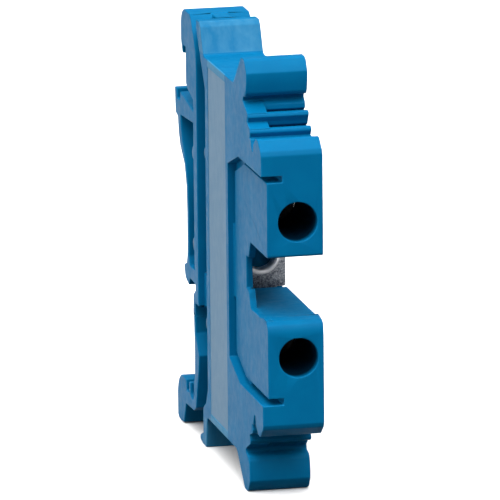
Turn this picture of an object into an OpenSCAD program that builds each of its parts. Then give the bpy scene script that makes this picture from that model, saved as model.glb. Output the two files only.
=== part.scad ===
// Feed-through terminal block for a 35 mm top-hat rail, with two screw clamps.
// X runs along the rail, Y points back to the rail, Z is up, in mm.
// The origin is on the front face of the rail, halfway up it and halfway across the block.
// Outlines are drawn as [depth behind the front face, height] and extruded along X.

/* [Block] */
// Thickness of the block along the rail
block_w = 6.1; // [6:0.1:9]
// Distance from the front face of the block to the front face of the rail
front_depth = 33.2; // [32:0.1:44]
// Half of the overall height, from the middle to the outer ends
end_reach = 21.5; // [20.5:0.1:27]
// Half of the height across the two wire floors
floor_reach = 18.35; // [17.9:0.05:18.8]

/* [Rail] */
// Height of the top-hat rail
rail_h = 35; // [34.6:0.1:35.4]
// Sheet thickness of the rail
rail_t = 1; // [0.8:0.1:1.2]
// Play of the rail in its slots
rail_gap = 0.2; // [0.1:0.05:0.4]

/* [Towers] */
// Half of the height of the well between the two towers
well_half = 3.25; // [2.9:0.05:3.5]
// Height of a tower's outer front corner above the middle
tower_reach = 13.3; // [13:0.1:13.6]
// Height of a clamp's axis above the middle
clamp_z = 6.7; // [6.5:0.05:6.9]
// Bore for the screwdriver
driver_d = 3.9; // [3.5:0.1:4.1]
// Bore for the wire
wire_d = 3.9; // [3:0.1:4]
// Wider mouth of the wire bore
mouth_d = 4.7; // [4.2:0.1:4.8]

/* [Closed side] */
// How far the inner panel lies below the outer side face
panel_recess = 0.56; // [0.3:0.02:0.8]
// Thickness of the panel beside the well
panel_t = 0.64; // [0.5:0.02:0.8]
// Height of the partition slots in the front face
slot_h = 0.66; // [0.5:0.02:0.8]
// Height of the partition slots' middle
slot_z = 10.98; // [10.9:0.02:11.1]
// How far the partition slots reach in from the side face
slot_reach = 2.1; // [1.5:0.1:2.5]
// Depth of the thin groove that joins the two slots
groove_t = 0.4; // [0.2:0.05:0.5]

/* [Clamp] */
// Outer diameter of the clamp screw's thread
screw_d = 3; // [2.6:0.1:3]
// Thread pitch, which sets the travel for each turn
screw_pitch = 0.5; // [0.4:0.05:0.6]
// Diameter of the screw's head
head_d = 3.7; // [3.3:0.1:3.7]
// Thickness of the screw's head
head_t = 1.3; // [1:0.1:1.6]
// Turns from closed to open
screw_turns = 6; // [4:1:6]
// Sheet thickness of the cage
cage_t = 0.6; // [0.5:0.05:0.6]
// Thickness of the cage's threaded front wall
cage_front_t = 1.3; // [1:0.1:1.6]
// Length of the cage along the wire
cage_l = 5.3; // [4.6:0.1:5.3]
// Thickness of the pressure plate
plate_t = 0.6; // [0.4:0.05:0.7]
// Diameter of the pivot at the screw's tip
tip_d = 1.4; // [1:0.1:1.6]

/* [Current bar] */
// Depth of the bar's front face
bar_depth = 15.85; // [15.6:0.05:16]
// Thickness of the bar
bar_t = 1.5; // [1.2:0.1:1.6]
// Bore of the bridge screw hole in the bar
bridge_d = 2.9; // [2:0.1:3]

/* [Foot] */
// Thickness of the middle web between the body and the foot
web_t = 1.6; // [1.2:0.1:2.4]
// Thickness of the bending wall that carries the latch
flexure_t = 0.76; // [0.6:0.02:1]
// Height of the latch's pivot below the middle
latch_z = 9.3; // [9:0.1:9.6]

/* [Hidden] */
$fn = 64;

eps = 0.01;
fit_gap = 0.05;          // radial or side clearance of the metal parts
seat_gap = 0.1;          // end clearance of the metal parts
left = -block_w / 2;     // closed side
right = block_w / 2;     // open side
rail_half = rail_h / 2;
rim = 0.35;              // how far the cages lie inside the open side

cage_w = screw_d + 2 * (fit_gap + cage_t);
cage_x1 = right - rim;
cage_x0 = cage_x1 - cage_w;
clamp_x = (cage_x0 + cage_x1) / 2;
pocket_x = cage_x0 - fit_gap;
panel_x = left + panel_recess;

plate_w = screw_d;
plate_back = bar_depth - seat_gap;
plate_front = plate_back - plate_t;
travel = screw_turns * screw_pitch;
cage_inner_front = plate_front - travel - 0.27;
cage_front = cage_inner_front - cage_front_t;
cage_back = bar_depth + bar_t + fit_gap + 1;
head_front = cage_front - fit_gap - head_t;       // closed
chamber_front = head_front - travel - seat_gap;   // where the driver's bore widens for the head
chamber_r = head_d / 2 + 0.3;
cage_z0 = clamp_z - cage_l / 2;
pocket_z0 = cage_z0 - seat_gap;
pocket_z1 = cage_z0 + cage_l + seat_gap;
wire_depth = bar_depth - wire_d / 2;

flex_depth = front_depth - 2.93;   // middle plane of the bending wall
body_back = front_depth - 8.7;     // back of the main body
plate_edge = front_depth - 4.8;    // front of the foot plate

// Points on an arc about [cx, cy], from angle a0 to a1 in n steps
function arc(cx, cy, r, a0, a1, n = 6) =
    [for (i = [0:n]) let (a = a0 + (a1 - a0) * i / n) [cx + r * cos(a), cy + r * sin(a)]];

function flip(points) = [for (i = [len(points) - 1:-1:0]) [points[i][0], -points[i][1]]];

// An outline of [depth, height], extruded from x0 to x1
module slab(x0, x1) {
    translate([x0, -front_depth, 0]) rotate([90, 0, 90]) linear_extrude(x1 - x0) children();
}

// A block between two corners given as [x, depth, z]
module block(a, b) {
    translate([a[0], a[1] - front_depth, a[2]]) cube([b[0] - a[0], b[1] - a[1], b[2] - a[2]]);
}

// A cylinder along Y between two depths, at [x, z]
module bore_y(x, z, d0, d1, r) {
    translate([x, d1 - front_depth, z]) rotate([90, 0, 0]) cylinder(h = d1 - d0, r = r);
}

// A cylinder along Z at [x, depth], between two heights
module bore_z(x, depth, z0, z1, r0, r1) {
    translate([x, depth - front_depth, z0]) cylinder(h = z1 - z0, r1 = r0, r2 = r1);
}

// Small raised lip along the front of the lower tower, beside the well
function lip() = [
    [2.8, well_half + 0.06], [2.55, well_half - 0.22], [1.5, well_half - 0.25],
    [0.75, well_half - 0.12], [0.3, well_half + 0.2], [0.08, well_half + 0.6], [0, well_half + 1.1]];

// Upper edge of the front part, from the well's front corner to the wire floor
function crown() = concat(
    [[0, tower_reach], [0.2, tower_reach + 0.45], [1.35, tower_reach + 1.35],
     [1.65, tower_reach + 1.4], [4.3, tower_reach + 0.85]],
    [for (i = [0:1]) each ridge(4.45 + 1.04 * i, tower_reach + 1.8 + 1.32 * i)],
    fin()
);

// One marker ridge: its lip at [depth, z], and the pocket behind and above it
function ridge(depth, z) =
    [[depth + 0.4, z - 0.92], [depth + 0.03, z - 0.4], [depth + 0.12, z - 0.13], [depth + 0.4, z],
     [depth + 2.1, z - 0.32], [depth + 1.6, z - 0.02]];

fin_tip = end_reach - floor_reach;
function fin() = [
    [7.1, floor_reach - 1.45], [7.65, floor_reach - 1.05], [7.55, floor_reach - 0.68],
    [6.6, floor_reach - 0.45], [6.32, floor_reach - 0.1], [6.12, floor_reach + fin_tip * 0.2],
    [6.02, floor_reach + fin_tip * 0.4], [6.0, floor_reach + fin_tip * 0.6],
    [6.4, floor_reach + fin_tip * 0.8], [6.85, floor_reach + fin_tip * 0.95],
    [7.2, end_reach], [8.2, end_reach], [8.5, floor_reach + fin_tip * 0.93],
    [9.2, floor_reach + fin_tip * 0.74], [10.4, floor_reach + fin_tip * 0.39],
    [11.3, floor_reach + fin_tip * 0.12], [11.9, floor_reach]];

// Wall behind the wire floor, up to its top back corner
function end_wall() = [
    [body_back + 0.1, floor_reach], [body_back + 0.45, floor_reach + 0.12],
    [body_back + 0.7, floor_reach + 0.5], [body_back + 1.05, floor_reach + fin_tip * 0.39],
    [body_back + 1.75, floor_reach + fin_tip * 0.86], [body_back + 2.25, end_reach],
    [body_back + 3.7, end_reach - 0.02]];

function body_outline() = concat(
    [[bar_depth + bar_t, -well_half], [bar_depth + bar_t, well_half]],
    arc(0.3, well_half + 0.3, 0.3, 270, 180, 3),
    crown(),
    end_wall(),
    [[body_back + 3.65, end_reach - 1], [body_back + 2.3, end_reach - 3.03],
     [body_back + 1.1, end_reach - 4.8], [body_back, end_reach - 6.3],
     [body_back, -(end_reach - 6.3)], [body_back + 0.95, -(end_reach - 4.6)],
     [body_back + 2.2, -(end_reach - 3.85)], [body_back + 2.3, -(end_reach - 1.25)],
     [body_back + 3.65, -(end_reach - 0.75)], [body_back + 3.7, -(end_reach - 0.25)],
     [body_back + 2.4, -end_reach], [body_back + 0.95, -end_reach],
     [body_back + 0.6, -(floor_reach + 0.6)], [body_back + 0.3, -(floor_reach + 0.1)],
     [body_back + 0.1, -floor_reach]],
    flip(concat(lip(), crown()))
);

// Foot plate with the fixed hook at its top, and the rib that runs inside the rail
seat = front_depth;
slot_back = seat + rail_t + rail_gap;
function foot_outline() = concat(
    [[plate_edge, -7.75], [plate_edge, 16.3], [plate_edge + 0.25, 18.1],
     [plate_edge + 1.1, end_reach - 1.9], [plate_edge + 1.85, end_reach - 0.8],
     [plate_edge + 2.7, end_reach - 0.05], [seat + 0.3, end_reach]],
    arc(seat + 0.3, end_reach - 1.8, 1.8, 90, 10, 6),
    [[seat + 2.1, rail_half + 0.8], [seat + 1.75, rail_half],
     [seat + 1.35, rail_half - 0.6], [slot_back, rail_half - 0.6], [slot_back, rail_half + rail_gap],
     [seat, rail_half + rail_gap], [seat, 14.1], [seat - 0.7, 13.6], [seat - 1.9, 13.3],
     [seat - 3.3, 12.9], [seat - 3.3, 11.8],
     [seat + 2.7, 12.7], [seat + 2.7, 11.75], [seat + 4.1, 11.75], [seat + 4.1, 12.75],
     [seat + 5.2, 12.75], [seat + 4.95, 10.15], [seat + 3.95, 9.9], [seat + 3.6, 8.4],
     [seat + 3, 7.2], [seat + 1.05, 5.6], [seat + 0.2, 3.5], [seat + 0.05, 1], [seat + 0.05, -2],
     [seat + 0.2, -3.6], [seat + 0.55, -4.4], [seat + 1.6, -4.75], [seat + 1.65, -5.2],
     [seat + 1.1, -6.05], [seat - 0.4, -6.5], [seat - 0.95, -5.7], [seat - 3.4, -5.8],
     [seat - 3.5, -6.3], [flex_depth + flexure_t / 2, -6.9],
     [flex_depth + flexure_t / 2, -latch_z], [flex_depth - flexure_t / 2, -latch_z],
     [flex_depth - flexure_t / 2, -7.75]]
);

// Space between the foot plate and the bowed rib
function bow_window() = [
    [seat - 3.2, 10.6], [seat + 2.6, 10.3], [seat + 2.55, 9.4], [seat + 1.95, 7.8],
    [seat + 0.5, 5.8], [seat - 0.45, 3.65], [seat - 0.75, 0], [seat - 0.6, -3.5],
    [seat - 1.1, -4.35], [seat - 3.2, -4.4]];

function latch_outline() = concat(
    arc(flex_depth, -latch_z, flexure_t / 2, 0, 180, 12),
    [[flex_depth - flexure_t / 2, -10.8], [plate_edge, -12.8], [plate_edge + 0.25, -14.4],
     [seat - 3.2, -18.5], [seat - 2.2, -19.05], [seat + 1.55, -19.2], [seat + 2.55, -21.35],
     [seat + 3.75, -end_reach], [seat + 4.9, -end_reach + 0.1], [seat + 5.35, -21.1]],
    arc(seat + 2.9, -19.1, 2.55, -10, 75, 6),
    [[seat + 2.75, -rail_half + 0.9], [slot_back, -rail_half + 0.9],
     [slot_back, -rail_half - rail_gap], [seat, -rail_half - rail_gap],
     [seat, -rail_half + 1], [seat - 0.68, -rail_half + 1]],
    arc(seat - 1.45, -17.3, 0.77, 0, -180, 8),
    [[seat - 2.22, -16.2], [seat - 2.75, -15.4], [seat - 2.85, -13.3],
     [flex_depth + flexure_t / 2, -10.2]]
);

// Cut for the partition groove on the closed side: its outer edge, moved in by step
function groove_edge(step) =
    let (z = slot_z + slot_h / 2 - step, back = bar_depth - 1.25 - step, bend = 9.95 - step * 0.3)
    [[-1, z], [bend, z], [back, z - 1.6], [back, -z + 1.6], [bend, -z], [-1, -z]];

module closed_side_cuts() {
    slab(left - 1, panel_x) polygon(groove_edge(0));
    slab(left - 1, panel_x + groove_t) difference() {
        polygon(groove_edge(0));
        polygon(groove_edge(slot_h));
        translate([0, -well_half - 0.4]) square([bar_depth + 5, 2 * well_half + 0.8]);
    }
    for (s = [-1, 1])
        block([left - 1, -1, s * slot_z - slot_h / 2], [left + slot_reach, 9, s * slot_z + slot_h / 2]);
    // Tapered notch beside each tower's outer corner
    for (s = [0, 1]) mirror([0, 0, s]) slab(left - 1, left + 0.6) polygon([
        [2.2, tower_reach + 2], [2.5, tower_reach + 1.1], [3.3, tower_reach + 0.5],
        [3.5, tower_reach - 0.25], [3.8, tower_reach - 0.25], [4.25, tower_reach + 0.6],
        [4.35, tower_reach + 2]]);
    // Shallow field for lettering
    slab(left - 1, left + 0.06) polygon([
        [body_back - 1.3, floor_reach - 0.75], [bar_depth - 0.3, floor_reach - 0.75],
        [bar_depth - 0.3, -floor_reach + 0.75], [body_back - 1.3, -floor_reach + 0.75]]);
}

// The well between the towers, with the panel left standing on the closed side
module well_cut() {
    panel_in = panel_x + panel_t;
    slab(left - 1, right + 1) polygon([
        [-1, -well_half + 0.26], [-1, well_half], [7.4, well_half], [7.9, 2.2], [8.2, 1.6], [9.2, 1.6],
        [9.2, -1.6], [8.2, -1.6], [7.9, -2.2], [7.4, -well_half], [2.8, -well_half], [2.5, -well_half + 0.26]]);
    block([panel_in, 5, -well_half], [right + 1, bar_depth + bar_t, well_half]);
}

// Pockets, bores and mouth for one clamp, on the upper side
module clamp_cuts() {
    block([pocket_x, cage_front - seat_gap, pocket_z0], [right + 1, cage_back + seat_gap, pocket_z1]);
    bore_y(clamp_x, clamp_z, -1, cage_front, driver_d / 2);
    bore_y(clamp_x, clamp_z, chamber_front, cage_front, chamber_r);
    bore_z(clamp_x, wire_depth, pocket_z1 - 1, floor_reach + 4, wire_d / 2, wire_d / 2);
    bore_z(clamp_x, wire_depth, floor_reach - 1.2, floor_reach + eps, wire_d / 2, mouth_d / 2);
    bore_z(clamp_x, wire_depth, floor_reach, floor_reach + 4, mouth_d / 2, mouth_d / 2);
}

// Hollows moulded into the open side to keep its walls even
module core_pockets() {
    skin = 1.2;
    wall = 0.9;
    x0 = left + skin;
    d0 = cage_back + seat_gap + wall;
    d1 = body_back - wall;
    count = 6;
    reach = floor_reach - 2.6;
    pitch = 2 * reach / count;
    for (i = [0:count - 1])
        block([x0, d0, -reach + i * pitch + wall / 2], [right + 1, d1, -reach + (i + 1) * pitch - wall / 2]);
    for (s = [0, 1]) mirror([0, 0, s]) {
        block([x0, wire_depth + wire_d / 2 + 0.7, pocket_z1 + wall], [right + 1, d0 - wall, floor_reach - 1.2]);
        slab(left + slot_reach + 0.8, right + 1) polygon([
            [2.2, pocket_z1 + 1.2], [cage_front - 0.6, pocket_z1 + 1.2],
            [wire_depth - wire_d / 2 - 0.8, floor_reach - 2.4], [8.7, floor_reach - 2.4],
            [7.3, tower_reach + 0.4], [2.2, tower_reach + 0.1]]);
    }
}

module housing() color("#1f82b4") {
    difference() {
        union() {
            slab(left, right) polygon(body_outline());
            block([left, 0.8, -well_half - 0.5], [panel_x + panel_t, bar_depth + bar_t, well_half + 0.5]);
            // Solid ramps at the closed end of the marker ridges
            for (s = [0, 1], i = [0, 1]) mirror([0, 0, s]) slab(left, left + 2) polygon([
                [4.6 + 1.04 * i, tower_reach + 1.75 + 1.32 * i], [6.9 + 1.04 * i, tower_reach + 1.2 + 1.32 * i],
                [6.9 + 0.6 * i, tower_reach + 2.5 + 1.5 * i], [6.0 + 1.2 * i, tower_reach + 2.25 + 1.5 * i]]);
            slab(left, right) difference() {
                polygon(foot_outline());
                polygon(bow_window());
            }
            // Web that joins the body to the foot
            slab(-web_t / 2, web_t / 2) polygon([
                [body_back - 1, -7], [body_back - 1, end_reach - 6], [body_back + 1.6, end_reach - 3],
                [body_back + 3, end_reach - 0.1], [plate_edge + 3, end_reach - 0.1],
                [plate_edge + 1, 15], [plate_edge + 1, -7]]);
            slab(-web_t / 2, web_t / 2) polygon(bow_window());
            // Bridge across the channel above the bending wall
            slab(left + 0.7, right - 0.7) polygon([
                [body_back - 1, -7.7], [body_back - 1, -4.4], [plate_edge + 1, -4.4], [plate_edge + 1, -7.7]]);
            // Small stops on the back of the body and of the foot plate
            for (z = [8.7, -8.6]) bump(body_back, z, 0.6);
            for (z = [7.6, -1.7]) bump(seat - 3.2, z, 0.7);
        }
        closed_side_cuts();
        well_cut();
        for (s = [0, 1]) mirror([0, 0, s]) clamp_cuts();
        // Slot for the current bar, and relief behind its hole
        block([panel_x + panel_t, bar_depth - fit_gap, -pocket_z1], [right + 1, bar_depth + bar_t + fit_gap, pocket_z1]);
        bore_y(clamp_x, 0, bar_depth, bar_depth + bar_t + 0.8, bridge_d / 2 + 0.4);
        core_pockets();
        // Seat of the latch's rounded end
        translate([left - 1, flex_depth - front_depth, -latch_z])
            rotate([0, 90, 0]) cylinder(h = block_w + 2, r = flexure_t / 2 + 0.03);
    }
}

module bump(depth, z, r) {
    translate([left, depth - front_depth, z]) rotate([0, 90, 0]) cylinder(h = block_w, r = r);
}

module rail_latch() color("#1f82b4") slab(left, right) polygon(latch_outline());

module current_bar() color("#b9bcbf") {
    bar_x0 = panel_x + panel_t + fit_gap;
    bar_x1 = right - fit_gap;
    half_w = plate_w / 2;
    difference() {
        union() {
            block([bar_x0, bar_depth, -well_half + fit_gap], [bar_x1, bar_depth + bar_t, well_half - fit_gap]);
            block([clamp_x - half_w, bar_depth, -pocket_z1 + seat_gap],
                  [clamp_x + half_w, bar_depth + bar_t, pocket_z1 - seat_gap]);
        }
        bore_y(clamp_x, 0, bar_depth - 1, bar_depth + bar_t + 1, bridge_d / 2);
    }
}

// Bent frame round the bar and the wire, threaded in its front wall
module clamp_cage() color("#9a9d9a") difference() {
    block([cage_x0, cage_front, cage_z0], [cage_x1, cage_back, cage_z0 + cage_l]);
    block([cage_x0 + cage_t, cage_inner_front, cage_z0 - 1],
          [cage_x1 - cage_t, bar_depth + bar_t + fit_gap, cage_z0 + cage_l + 1]);
    bore_y(clamp_x, clamp_z, cage_front - 1, cage_inner_front + 1, screw_d / 2 + fit_gap);
}

// Slotted screw, closed, with a short pivot that holds the pressure plate
module clamp_screw() color("#6f7274") {
    head_back = head_front + head_t;
    blade_slot = 0.7;
    difference() {
        union() {
            bore_y(clamp_x, clamp_z, head_front, head_back, head_d / 2);
            bore_y(clamp_x, clamp_z, head_back - eps, plate_front - fit_gap, screw_d / 2);
            bore_y(clamp_x, clamp_z, plate_front - seat_gap, plate_back - 0.1, tip_d / 2);
        }
        block([clamp_x - head_d, head_front - 1, clamp_z - blade_slot / 2],
              [clamp_x + head_d, head_back - head_t * 0.35, clamp_z + blade_slot / 2]);
    }
}

module pressure_plate() color("#a8a49c") difference() {
    block([clamp_x - plate_w / 2, plate_front, cage_z0 + 0.3],
          [clamp_x + plate_w / 2, plate_back, cage_z0 + cage_l - 0.3]);
    bore_y(clamp_x, clamp_z, plate_front - 1, plate_back + 1, tip_d / 2 + fit_gap);
}

module clamp_cage_upper() clamp_cage();
module clamp_cage_lower() mirror([0, 0, 1]) clamp_cage();
module clamp_screw_upper() clamp_screw();
module clamp_screw_lower() mirror([0, 0, 1]) clamp_screw();
module pressure_plate_upper() pressure_plate();
module pressure_plate_lower() mirror([0, 0, 1]) pressure_plate();

housing();
rail_latch();
current_bar();
clamp_cage_upper();
clamp_cage_lower();
clamp_screw_upper();
clamp_screw_lower();
pressure_plate_upper();
pressure_plate_lower();
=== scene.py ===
import math

import bmesh
import bpy
from mathutils import Matrix, Vector


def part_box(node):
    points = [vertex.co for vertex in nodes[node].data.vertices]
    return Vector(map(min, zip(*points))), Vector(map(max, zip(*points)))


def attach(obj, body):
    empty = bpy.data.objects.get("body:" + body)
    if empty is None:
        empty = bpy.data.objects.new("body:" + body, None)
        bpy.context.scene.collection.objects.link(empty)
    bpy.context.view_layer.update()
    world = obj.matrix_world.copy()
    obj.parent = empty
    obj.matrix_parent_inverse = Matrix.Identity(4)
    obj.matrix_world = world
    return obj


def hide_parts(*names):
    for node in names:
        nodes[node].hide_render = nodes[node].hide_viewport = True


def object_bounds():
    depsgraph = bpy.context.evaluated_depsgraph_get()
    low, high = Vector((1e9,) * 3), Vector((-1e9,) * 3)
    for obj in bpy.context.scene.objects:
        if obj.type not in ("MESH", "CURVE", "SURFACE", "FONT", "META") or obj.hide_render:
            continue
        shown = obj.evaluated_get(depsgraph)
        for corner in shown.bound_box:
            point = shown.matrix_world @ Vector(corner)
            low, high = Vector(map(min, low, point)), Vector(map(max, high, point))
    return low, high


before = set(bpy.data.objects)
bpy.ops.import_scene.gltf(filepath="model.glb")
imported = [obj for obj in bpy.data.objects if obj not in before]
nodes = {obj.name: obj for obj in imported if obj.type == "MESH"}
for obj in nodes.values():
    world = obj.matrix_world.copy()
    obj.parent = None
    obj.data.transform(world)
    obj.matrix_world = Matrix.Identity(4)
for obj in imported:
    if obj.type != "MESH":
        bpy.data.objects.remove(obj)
cadBox = [list(corner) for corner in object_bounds()]
scene = bpy.context.scene
mm = 0.001
print("frame loaded:", ", ".join(sorted(nodes)))


def newMaterial(name):
    material = bpy.data.materials.new(name)
    material.use_nodes = True
    return material, material.node_tree, material.node_tree.nodes["Principled BSDF"]


def addNode(tree, kind, inputs=None, **settings):
    # an input is linked when its value comes from another node
    node = tree.nodes.new(kind)
    for key, value in settings.items():
        setattr(node, key, value)
    for key, value in (inputs or {}).items():
        if isinstance(value, bpy.types.NodeSocket):
            tree.links.new(value, node.inputs[key])
        else:
            node.inputs[key].default_value = value
    return node


def ownPlace(tree):
    place = addNode(tree, "ShaderNodeTexCoord").outputs["Object"]
    split = addNode(tree, "ShaderNodeSeparateXYZ", {0: place})
    return split.outputs["X"], split.outputs["Y"], split.outputs["Z"]


def calc(tree, operation, a, b=0.0):
    return addNode(tree, "ShaderNodeMath", {0: a, 1: b}, operation=operation).outputs[0]


def product(tree, first, *others):
    for other in others:
        first = calc(tree, "MULTIPLY", first, other)
    return first


def distance(tree, a, b):
    return calc(tree, "SQRT", calc(tree, "ADD", product(tree, a, a), product(tree, b, b)))


def remap(tree, value, low, high, toLow, toHigh):
    return addNode(tree, "ShaderNodeMapRange", {
        "Value": value, "From Min": low, "From Max": high,
        "To Min": toLow, "To Max": toHigh}).outputs["Result"]


def pattern(tree, scale, detail, roughness=0.5, distortion=0.0, stretch=(1, 1, 1), cut=None, to=(0, 1)):
    # noise over the piece's own millimetres; the levels in cut are spread over those in to
    place = addNode(tree, "ShaderNodeTexCoord").outputs["Object"]
    counted = addNode(tree, "ShaderNodeMapping", {"Vector": place, "Scale": [s / mm for s in stretch]})
    level = addNode(tree, "ShaderNodeTexNoise", {
        "Vector": counted.outputs["Vector"], "Scale": scale, "Detail": detail,
        "Roughness": roughness, "Distortion": distortion}).outputs["Fac"]
    return remap(tree, level, *cut, *to) if cut else level


def mixColour(tree, factor, a, b):
    # sockets 0, 6 and 7 take the factor and the two colours
    return addNode(tree, "ShaderNodeMix", {0: factor, 6: a, 7: b}, data_type="RGBA").outputs[2]


def bump(tree, height, strength, depth, below=None):
    inputs = {"Height": height, "Strength": strength, "Distance": depth}
    if below is not None:
        inputs["Normal"] = below
    return addNode(tree, "ShaderNodeBump", inputs).outputs["Normal"]


wearAndHighlightMask = dict(samples=6, untouched=0.998, full=0.93)


def edgeWearAndHighlight(tree, reach, most):
    # wear and painted highlight, more on edges, none on flats: how far the rounded normal leaves the plain
    # one
    rounded = addNode(tree, "ShaderNodeBevel", {"Radius": reach}, samples=wearAndHighlightMask["samples"]).outputs["Normal"]
    plain = addNode(tree, "ShaderNodeNewGeometry").outputs["Normal"]
    agreement = addNode(tree, "ShaderNodeVectorMath", {0: rounded, 1: plain}, operation="DOT_PRODUCT")
    return remap(tree, agreement.outputs["Value"], wearAndHighlightMask["untouched"], wearAndHighlightMask["full"], 0, most)


screwLow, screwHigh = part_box("clamp_screw_upper")
boreAxis = ((screwLow[0] + screwHigh[0]) / 2, (screwLow[2] + screwHigh[2]) / 2)

polyamideLook = dict(
    colour=(0.0, 0.134, 0.298, 1), deeper=(0.0, 0.118, 0.27, 1), blend=(0.5, 0.85), streakShare=0.12,
    cloud=dict(scale=0.32, detail=3, roughness=0.55, distortion=0.3),
    streak=dict(scale=1.3, detail=3, roughness=0.6, distortion=0.6, stretch=(1, 1, 0.12)),
    scuffAndHighlight=(0.015, 0.19, 0.38, 1), edgeReach=0.16 * mm, edgeMost=0.5,
    edgePatches=dict(scale=1.7, detail=3, cut=(0.35, 0.65), to=(0.35, 1)),
    roughness=dict(scale=1.1, detail=4, roughness=0.6, cut=(0.3, 0.7), to=(0.42, 0.56)),
    ior=1.5, specular=0.042,
    grain=dict(scale=9.0, detail=4, roughness=0.7), grainStrength=0.11, grainDepth=0.02 * mm,
    sag=dict(scale=0.7, detail=1, roughness=0.4), sagStrength=0.18, sagDepth=0.05 * mm)
paintedBoreShade = dict(
    boreShadeTone=(0.0, 0.004, 0.012, 1), most=0.93, axis=boreAxis, reach=2.2 * mm,
    fade=(-33.15 * mm, -32.1 * mm), end=-21.5 * mm)
fieldLook = dict(
    frosted=(0.17, 0.27, 0.37, 1), border=(0.06, 0.24, 0.38, 1), borderShare=0.6, extraRoughness=0.12,
    front=-17.6 * mm, back=-10.0 * mm, halfHeight=17.55 * mm, skin=0.1 * mm,
    mottle=dict(scale=1.4, detail=5, roughness=0.65, distortion=0.4, stretch=(1, 1, 0.35),
                cut=(0.3, 0.7), to=(0.78, 1.0)))
wallSheenLook = dict(
    paintedSheen=(0.06, 0.22, 0.36, 1), above=18.6 * mm, front=-8.4 * mm, back=-6.2 * mm,
    bands=dict(scale=0.9, detail=4, roughness=0.6, distortion=0.3, stretch=(1, 1, 0.15),
               cut=(0.35, 0.7), to=(0.15, 0.6)))


def shadeBores(tree, colour, look):
    # painted shade: the two driver bores darken inwards
    x, y, z = ownPlace(tree)
    aside = calc(tree, "SUBTRACT", x, look["axis"][0])
    rise = calc(tree, "SUBTRACT", calc(tree, "ABSOLUTE", z), look["axis"][1])
    within = calc(tree, "LESS_THAN", distance(tree, aside, rise), look["reach"])
    before = calc(tree, "LESS_THAN", y, look["end"])
    deep = remap(tree, y, *look["fade"], 0, look["most"])
    return mixColour(tree, product(tree, within, before, deep), colour, look["boreShadeTone"])


def frostField(tree, colour, roughness, look):
    # frosted field on the closed side, with a lighter border at its two ends
    x, y, z = ownPlace(tree)
    side = calc(tree, "LESS_THAN", x, cadBox[0][0] + look["skin"])
    behind = calc(tree, "GREATER_THAN", y, look["front"])
    before = calc(tree, "LESS_THAN", y, look["back"])
    height = calc(tree, "ABSOLUTE", z)
    strip = product(tree, side, behind, before)
    field = product(tree, strip, calc(tree, "LESS_THAN", height, look["halfHeight"]))
    ends = product(tree, strip, calc(tree, "GREATER_THAN", height, look["halfHeight"]))
    mottled = product(tree, field, pattern(tree, **look["mottle"]))
    colour = mixColour(tree, mottled, colour, look["frosted"])
    colour = mixColour(tree, product(tree, ends, look["borderShare"]), colour, look["border"])
    return colour, calc(tree, "ADD", roughness, product(tree, field, look["extraRoughness"]))


def paintWallSheen(tree, colour, look):
    # painted sheen on the wall behind each wire floor, broken into vertical bands
    x, y, z = ownPlace(tree)
    high = calc(tree, "GREATER_THAN", calc(tree, "ABSOLUTE", z), look["above"])
    behind = calc(tree, "GREATER_THAN", y, look["front"])
    before = calc(tree, "LESS_THAN", y, look["back"])
    patch = product(tree, high, behind, before, pattern(tree, **look["bands"]))
    return mixColour(tree, patch, colour, look["paintedSheen"])


def polyamideMaterial(name, look, marksAndPaintedLight):
    material, tree, shader = newMaterial(name)
    streaks = product(tree, pattern(tree, **look["streak"]), look["streakShare"])
    clouds = calc(tree, "ADD", pattern(tree, **look["cloud"]), streaks)
    colour = mixColour(tree, remap(tree, clouds, *look["blend"], 0, 1), look["deeper"], look["colour"])
    # lighter edges, partly wear and partly painted highlight
    wornAndLit = product(tree, edgeWearAndHighlight(tree, look["edgeReach"], look["edgeMost"]),
                   pattern(tree, **look["edgePatches"]))
    colour = mixColour(tree, wornAndLit, colour, look["scuffAndHighlight"])
    roughness = pattern(tree, **look["roughness"])
    # the housing alone gets its frosted field, the painted bore shade and the painted wall sheen
    if marksAndPaintedLight:
        colour = shadeBores(tree, colour, paintedBoreShade)
        colour, roughness = frostField(tree, colour, roughness, fieldLook)
        colour = paintWallSheen(tree, colour, wallSheenLook)
    tree.links.new(colour, shader.inputs["Base Color"])
    tree.links.new(roughness, shader.inputs["Roughness"])
    shader.inputs["IOR"].default_value = look["ior"]
    shader.inputs["Specular IOR Level"].default_value = look["specular"]
    wavy = bump(tree, pattern(tree, **look["sag"]), look["sagStrength"], look["sagDepth"])
    grainy = bump(tree, pattern(tree, **look["grain"]), look["grainStrength"], look["grainDepth"], wavy)
    tree.links.new(grainy, shader.inputs["Normal"])
    return material


metalGrit = dict(detail=5, roughness=0.7, distortion=0.2)
metalPatches = dict(detail=3, roughness=0.55, distortion=0.8, cut=(0.35, 0.65))
metalShares = dict(fleckLevels=(0.42, 0.7), roughLevels=(0.3, 0.7), edgeMost=0.6, bumpDepth=0.03 * mm)

tinLook = dict(
    dark=(0.04, 0.045, 0.055, 1), light=(0.085, 0.095, 0.11, 1),
    fleck=(0.32, 0.33, 0.35, 1), edge=(0.9, 0.9, 0.9, 1), edgeReach=0.1 * mm,
    roughness=(0.28, 0.6), gritScale=7.0, patchScale=1.6, speckle=1.0, bump=1.0, stretch=(1, 1, 1),
    ring=dict(x=boreAxis[0], inner=1.6 * mm, outer=1.95 * mm, most=0.9))
zincLook = dict(
    dark=(0.16, 0.165, 0.16, 1), light=(0.28, 0.285, 0.275, 1),
    fleck=(0.42, 0.42, 0.39, 1), edge=(0.8, 0.8, 0.78, 1), edgeReach=0.12 * mm,
    roughness=(0.28, 0.46), gritScale=3.0, patchScale=0.6, speckle=0.35, bump=0.2, stretch=(4, 4, 0.25))
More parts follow.
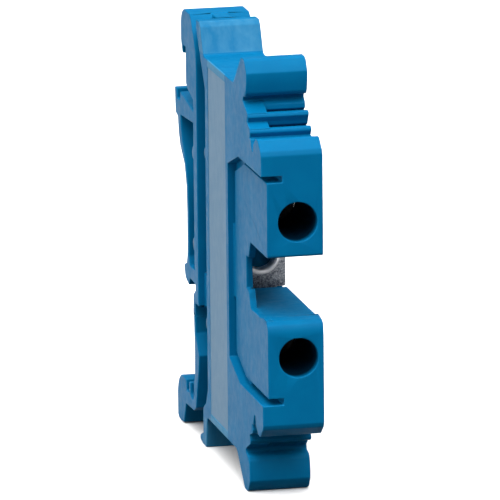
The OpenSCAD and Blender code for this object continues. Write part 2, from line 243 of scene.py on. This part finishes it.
# near-black screw steel, darkened to pass for the shade deep in the bores: painted shade
screwLook = dict(
    dark=(0.012, 0.012, 0.014, 1), light=(0.03, 0.03, 0.032, 1),
    fleck=(0.06, 0.06, 0.06, 1), edge=(0.12, 0.12, 0.12, 1), edgeReach=0.06 * mm,
    roughness=(0.32, 0.5), gritScale=6.0, patchScale=1.2, speckle=0.4, bump=0.2, stretch=(1, 1, 1))


def metalMaterial(name, look):
    material, tree, shader = newMaterial(name)
    grit = pattern(tree, look["gritScale"], stretch=look["stretch"], **metalGrit)
    patches = pattern(tree, look["patchScale"], **metalPatches)
    flecks = remap(tree, grit, *metalShares["fleckLevels"], 0, look["speckle"])
    colour = mixColour(tree, patches, look["dark"], look["light"])
    colour = mixColour(tree, flecks, colour, look["fleck"])
    # bright edges on the metal, partly wear and partly painted highlight
    colour = mixColour(tree, edgeWearAndHighlight(tree, look["edgeReach"], metalShares["edgeMost"]), colour, look["edge"])
    if "ring" in look:
        # painted highlight: a bright ring where the hole's edge rolls over
        ring = look["ring"]
        x, y, z = ownPlace(tree)
        away = distance(tree, calc(tree, "SUBTRACT", x, ring["x"]), z)
        highlightShare = remap(tree, away, ring["outer"], ring["inner"], 0, ring["most"])
        colour = mixColour(tree, highlightShare, colour, look["edge"])
    roughness = remap(tree, grit, *metalShares["roughLevels"], *look["roughness"])
    tree.links.new(colour, shader.inputs["Base Color"])
    tree.links.new(roughness, shader.inputs["Roughness"])
    shader.inputs["Metallic"].default_value = 1.0
    tree.links.new(bump(tree, grit, look["bump"], metalShares["bumpDepth"]), shader.inputs["Normal"])
    return material


housingPlastic = polyamideMaterial("mouldedPolyamide", polyamideLook, marksAndPaintedLight=True)
latchPlastic = polyamideMaterial("latchPolyamide", polyamideLook, marksAndPaintedLight=False)
tinPlate = metalMaterial("tinPlating", tinLook)
zincStrip = metalMaterial("zincPlatedStrip", zincLook)
shadeDarkScrewSteel = metalMaterial("screwSteelDarkAsShade", screwLook)
print("finishes ready")


def meshFrom(bm, name):
    mesh = bpy.data.meshes.new(name)
    bm.to_mesh(mesh)
    bm.free()
    return mesh


def addPiece(name, mesh, body, material, node):
    piece = bpy.data.objects.new(name, mesh)
    scene.collection.objects.link(piece)
    mesh.materials.clear()
    mesh.materials.append(material)
    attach(piece, body)
    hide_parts(node)
    return piece


# angles in degrees; roomOverLength lets an edge be rounded by more than its own length
edgeRules = dict(weld=0.001 * mm, flatWithin=0.6, straightWithin=28, roomOverLength=4,
                 nearRim=0.05 * mm, nearBend=0.05 * mm, uprightWithin=0.01 * mm)


def cleanCopy(node):
    # the CAD solid again, welded and with its flat faces whole
    bm = bmesh.new()
    bm.from_mesh(nodes[node].data)
    flat = math.radians(edgeRules["flatWithin"])
    bmesh.ops.remove_doubles(bm, verts=bm.verts, dist=edgeRules["weld"])
    bmesh.ops.dissolve_limit(bm, angle_limit=flat, verts=bm.verts, edges=bm.edges)
    bmesh.ops.connect_verts_concave(bm, faces=bm.faces)
    return bm


def onRim(spot, rim):
    # on the front edge of a round hole
    near = edgeRules["nearRim"]
    away = math.hypot(spot.x - rim["x"], spot.z - rim["z"])
    return abs(away - rim["radius"]) < near and abs(spot.y - rim["y"]) < near


def onBend(edge, bends):
    # an upright outer corner of a folded strip
    near = edgeRules["nearBend"]
    a, b = (v.co for v in edge.verts)
    upright = max(abs(a.x - b.x), abs(a.y - b.y)) < edgeRules["uprightWithin"]
    return upright and any(abs(a.x - x) < near and abs(a.y - y) < near for x, y in bends)


def roomFor(edge, sharp):
    # what the neighbours leave free, apart from those that only carry the edge on
    turned = -math.cos(math.radians(edgeRules["straightWithin"]))
    room = edge.calc_length() * edgeRules["roomOverLength"]
    for v in edge.verts:
        mine = (edge.other_vert(v).co - v.co).normalized()
        for other in v.link_edges:
            if other is edge or other not in sharp:
                continue
            theirs = (other.other_vert(v).co - v.co).normalized()
            if mine.dot(theirs) > turned:
                room = min(room, other.calc_length())
    return room


def weighEdges(bm, spec):
    # each sharp edge is rounded as far as its neighbours leave room
    layer = bm.edges.layers.float.get("bevel_weight_edge") or bm.edges.layers.float.new("bevel_weight_edge")
    limit = math.radians(spec["sharpAngle"])
    sharp = {e for e in bm.edges if len(e.link_faces) == 2 and e.calc_face_angle(0) > limit}
    plain = spec.get("plain", spec["radius"]) / spec["radius"]
    for e in sharp:
        e[layer] = min(1.0, spec["share"] * roomFor(e, sharp) / spec["radius"], plain)
        if "rim" in spec and all(onRim(v.co, spec["rim"]) for v in e.verts):
            e[layer] = 1
        if "bends" in spec and onBend(e, spec["bends"]):
            e[layer] = 1
        for low, high in spec.get("keepSharp", ()):
            if any(all(low[i] * mm <= v.co[i] <= high[i] * mm for i in range(3)) for v in e.verts):
                e[layer] = 0
                e.smooth = False
    return len(sharp)


def roundEdges(piece, spec):
    rounding = piece.modifiers.new("edgeRounding", "BEVEL")
    rounding.limit_method = "WEIGHT"
    rounding.offset_type = "OFFSET"
    rounding.width = spec["radius"]
    rounding.segments = spec["segments"]
    rounding.use_clamp_overlap = False
    shading = piece.modifiers.new("flatShading", "WEIGHTED_NORMAL")
    shading.mode = "FACE_AREA"
    shading.weight = 100
    shading.keep_sharp = True


def roundedPiece(name, node, body, material, spec):
    bm = cleanCopy(node)
    for face in bm.faces:
        face.smooth = True
    count = weighEdges(bm, spec)
    piece = addPiece(name, meshFrom(bm, name), body, material, node)
    roundEdges(piece, spec)
    print(name, "edges rounded:", count)


# corners where edges crowd together beside the well stay sharp, counted in millimetres
crowded = [((-1.95, -33.3, -4.5), (-1.75, -24.5, 4.5)), ((2.9, -31.2, -3.5), (3.1, -30.0, -2.7))]
housingSpec = dict(radius=0.11 * mm, segments=3, sharpAngle=22, share=0.42, keepSharp=crowded)
roundedPiece("mouldedHousing", "housing", "root", housingPlastic, housingSpec)

latchSpec = dict(radius=0.11 * mm, segments=3, sharpAngle=22, share=0.42)
roundedPiece("sprungRailLatch", "rail_latch", "rail_latch", latchPlastic, latchSpec)

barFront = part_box("current_bar")[0][1]
barSpec = dict(radius=0.35 * mm, plain=0.12 * mm, segments=5, sharpAngle=25, share=0.42,
               rim=dict(x=boreAxis[0], y=barFront, z=0.0, radius=1.45 * mm))
roundedPiece("tinnedCurrentBar", "current_bar", "root", tinPlate, barSpec)
print("housing, latch and bar ready")


screwSpec = dict(
    sides=48, sharpAngle=35, pitch=0.5 * mm, rowsPerTurn=10, ridge=2.3,
    coreRadius=1.2 * mm, threadRadius=1.49 * mm, headLength=1.3 * mm, headChamfer=0.16 * mm,
    collarRadius=2.1 * mm, collarThickness=0.3 * mm, slotWidth=0.7 * mm, slotDepth=0.84 * mm,
    pivotRadius=0.7 * mm, pivotChamfer=0.08 * mm, shankStep=0.1 * mm)


def threadRadius(spec, along, angle, start, end):
    # a sharp ridge that winds round the core and runs out at both ends
    phase = (along / spec["pitch"] - angle / math.tau) % 1.0
    ridge = max(0.0, 1 - abs(phase - 0.5) * spec["ridge"])
    runOut = min(1.0, (along - start) / spec["pitch"], (end - along) / spec["pitch"])
    return spec["coreRadius"] + (spec["threadRadius"] - spec["coreRadius"]) * ridge * max(0.0, runOut)


def screwRings(spec, headRadius, front, shankEnd, back):
    # the outline from the head to the pivot: a place along the axis and a radius at each angle
    def even(along, radius):
        return along, [radius] * spec["sides"]

    shoulder = front + spec["headLength"]
    collar = shoulder - spec["collarThickness"]
    rings = [even(front, headRadius - spec["headChamfer"]), even(front + spec["headChamfer"], headRadius),
             even(collar, headRadius), even(collar, spec["collarRadius"]),
             even(shoulder, spec["collarRadius"]), even(shoulder, spec["coreRadius"])]
    angles = [math.tau * i / spec["sides"] for i in range(spec["sides"])]
    rows = int((shankEnd - shoulder) / spec["pitch"] * spec["rowsPerTurn"])
    for row in range(1, rows):
        along = shoulder + (shankEnd - shoulder) * row / rows
        rings.append((along, [threadRadius(spec, along, angle, shoulder, shankEnd) for angle in angles]))
    rings += [even(shankEnd, spec["coreRadius"] - spec["shankStep"]), even(shankEnd, spec["pivotRadius"]),
              even(back - spec["pivotChamfer"], spec["pivotRadius"]),
              even(back, spec["pivotRadius"] - spec["pivotChamfer"])]
    return rings


def lathe(rings, centre):
    # rings of corners round an axis along Y, joined and closed at both ends
    bm = bmesh.new()
    loops = []
    for along, radii in rings:
        loop = []
        for i, radius in enumerate(radii):
            angle = math.tau * i / len(radii)
            corner = (centre.x + radius * math.cos(angle), along, centre.z + radius * math.sin(angle))
            loop.append(bm.verts.new(corner))
        loops.append(loop)
    for first, second in zip(loops, loops[1:]):
        for i in range(len(first)):
            j = (i + 1) % len(first)
            bm.faces.new((first[i], first[j], second[j], second[i]))
    bm.faces.new(loops[0])
    bm.faces.new(loops[-1])
    bmesh.ops.recalc_face_normals(bm, faces=bm.faces)
    return bm


def slotBlade(at, length, depth, width):
    bm = bmesh.new()
    bmesh.ops.create_cube(bm, size=1)
    bmesh.ops.scale(bm, verts=bm.verts, vec=(length, depth * 2, width))
    bmesh.ops.translate(bm, verts=bm.verts, vec=at)
    return bm


def cutAway(mesh, cutter):
    blank = bpy.data.objects.new("screwBlank", mesh)
    blade = bpy.data.objects.new("slotBlade", cutter)
    for part in (blank, blade):
        scene.collection.objects.link(part)
    slotCut = blank.modifiers.new("slotCut", "BOOLEAN")
    slotCut.operation = "DIFFERENCE"
    slotCut.solver = "EXACT"
    slotCut.object = blade
    shaped = bpy.data.meshes.new_from_object(blank.evaluated_get(bpy.context.evaluated_depsgraph_get()))
    for part in (blank, blade):
        bpy.data.objects.remove(part)
    return shaped


def clampScrew(end, spec):
    node = "clamp_screw_" + end
    low, high = (Vector(corner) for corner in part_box(node))
    centre = (low + high) / 2
    headRadius = (high.x - low.x) / 2
    shankEnd = max(v.co.y for v in nodes[node].data.vertices
                   if math.hypot(v.co.x - centre.x, v.co.z - centre.z) > spec["coreRadius"])
    rings = screwRings(spec, headRadius, low.y, shankEnd, high.y)
    blade = slotBlade((centre.x, low.y, centre.z), headRadius * 3, spec["slotDepth"], spec["slotWidth"])
    blank = meshFrom(lathe(rings, centre), end + "ClampScrew")
    shaped = cutAway(blank, meshFrom(blade, "slotCutter"))
    shaped.shade_smooth()
    piece = addPiece(end + "ClampScrew", shaped, node, shadeDarkScrewSteel, node)
    shaped.set_sharp_from_angle(angle=math.radians(spec["sharpAngle"]))
    print(piece.name, "rings:", len(rings))


cageSpec = dict(radius=0.45 * mm, plain=0.1 * mm, segments=4, sharpAngle=25, share=0.42)
plateSpec = dict(radius=0.06 * mm, segments=2, sharpAngle=25, share=0.42)

for end in ("upper", "lower"):
    low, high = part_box("clamp_cage_" + end)
    bends = [(x, y) for x in (low[0], high[0]) for y in (low[1], high[1])]
    roundedPiece(end + "ClampCage", "clamp_cage_" + end, "root", zincStrip,
                 dict(cageSpec, bends=bends))
    roundedPiece(end + "PressurePlate", "pressure_plate_" + end, "pressure_plate_" + end,
                 zincStrip, plateSpec)
    clampScrew(end, screwSpec)
print("clamps ready")


studio = dict(floorSize=20.0, floorTone=(0.9, 0.9, 0.9, 1), floorRoughness=0.9, floorSpecular=0.1,
              airBelow=0.04, airAbove=0.9, horizon=(0.2, 0.8), airTone=(1, 1, 1, 1))
floorMaterial, floorTree, floorShader = newMaterial("palePaper")
floorShader.inputs["Base Color"].default_value = studio["floorTone"]
floorShader.inputs["Roughness"].default_value = studio["floorRoughness"]
floorShader.inputs["Specular IOR Level"].default_value = studio["floorSpecular"]
half = studio["floorSize"] / 2
corners = [(x * half, y * half, cadBox[0][2]) for x, y in ((-1, -1), (1, -1), (1, 1), (-1, 1))]
floorMesh = bpy.data.meshes.new("floor")
floorMesh.from_pydata(corners, [], [(0, 1, 2, 3)])
floorMesh.materials.append(floorMaterial)
floor = bpy.data.objects.new("floor", floorMesh)
scene.collection.objects.link(floor)
floor.visible_diffuse = False  # the paper stays pale without throwing light up at the block

# even light from above, little from below
world = bpy.data.worlds.new("studioAir")
scene.world = world
world.use_nodes = True
airTree = world.node_tree
direction = addNode(airTree, "ShaderNodeTexCoord").outputs["Generated"]
elevation = addNode(airTree, "ShaderNodeSeparateXYZ", {0: direction}).outputs["Z"]
glow = remap(airTree, elevation, *studio["horizon"], studio["airBelow"], studio["airAbove"])
airTree.links.new(glow, airTree.nodes["Background"].inputs["Strength"])
airTree.nodes["Background"].inputs["Color"].default_value = studio["airTone"]

# places and sizes in metres, power in watts; every lamp faces the block
lamps = [
    dict(name="topSoftbox", at=(-0.15, -0.15, 0.75), size=0.9, power=9.5),
    dict(name="sideSoftbox", at=(-0.9, -0.2, 0.12), size=0.8, power=6.0),
    dict(name="lowFill", at=(-0.3, -0.85, 0.08), size=0.3, power=0.35),
    dict(name="rearFill", at=(0.35, 0.85, 0.5), size=0.6, power=4.0, glossy=False),
    dict(name="frontFill", at=(0.1, -0.72, 0.66), size=0.6, power=6.0),
]
for lamp in lamps:
    data = bpy.data.lights.new(lamp["name"], "AREA")
    data.energy = lamp["power"]
    data.size = lamp["size"]
    light = bpy.data.objects.new(lamp["name"], data)
    light.location = lamp["at"]
    light.visible_glossy = lamp.get("glossy", True)
    light.rotation_euler = (-light.location).to_track_quat("-Z", "Y").to_euler()
    scene.collection.objects.link(light)
scene.view_settings.view_transform = "Standard"
print("floor and light ready")


# angles in degrees; the camera aims at a point this far behind the block's front
view = dict(lens=576, sensor=36, near=0.01, far=10, distance=788.851 * mm,
            turn=-12.831, tilt=12.611, roll=0.5286,
            aimDepth=20 * mm, frontDepth=33.2 * mm, shiftRight=-0.3547 * mm, shiftUp=0.3186 * mm)
turn, tilt, roll = (math.radians(view[key]) for key in ("turn", "tilt", "roll"))
across = Vector((math.cos(turn), math.sin(turn), 0))
ahead = Vector((-math.sin(turn) * math.cos(tilt), math.cos(turn) * math.cos(tilt), -math.sin(tilt)))
upward = across.cross(ahead)
aim = Vector((0, view["aimDepth"] - view["frontDepth"], 0))
eye = aim - view["shiftRight"] * across - view["shiftUp"] * upward - view["distance"] * ahead
imageRight = across * math.cos(roll) - upward * math.sin(roll)
imageUp = across * math.sin(roll) + upward * math.cos(roll)
cameraData = bpy.data.cameras.new("studioCamera")
cameraData.lens = view["lens"]
cameraData.sensor_width = view["sensor"]
cameraData.clip_start = view["near"]
cameraData.clip_end = view["far"]
camera = bpy.data.objects.new("studioCamera", cameraData)
scene.collection.objects.link(camera)
camera.matrix_world = Matrix((
    (imageRight.x, imageUp.x, -ahead.x, eye.x), (imageRight.y, imageUp.y, -ahead.y, eye.y),
    (imageRight.z, imageUp.z, -ahead.z, eye.z), (0, 0, 0, 1)))
scene.camera = camera
print("camera ready")
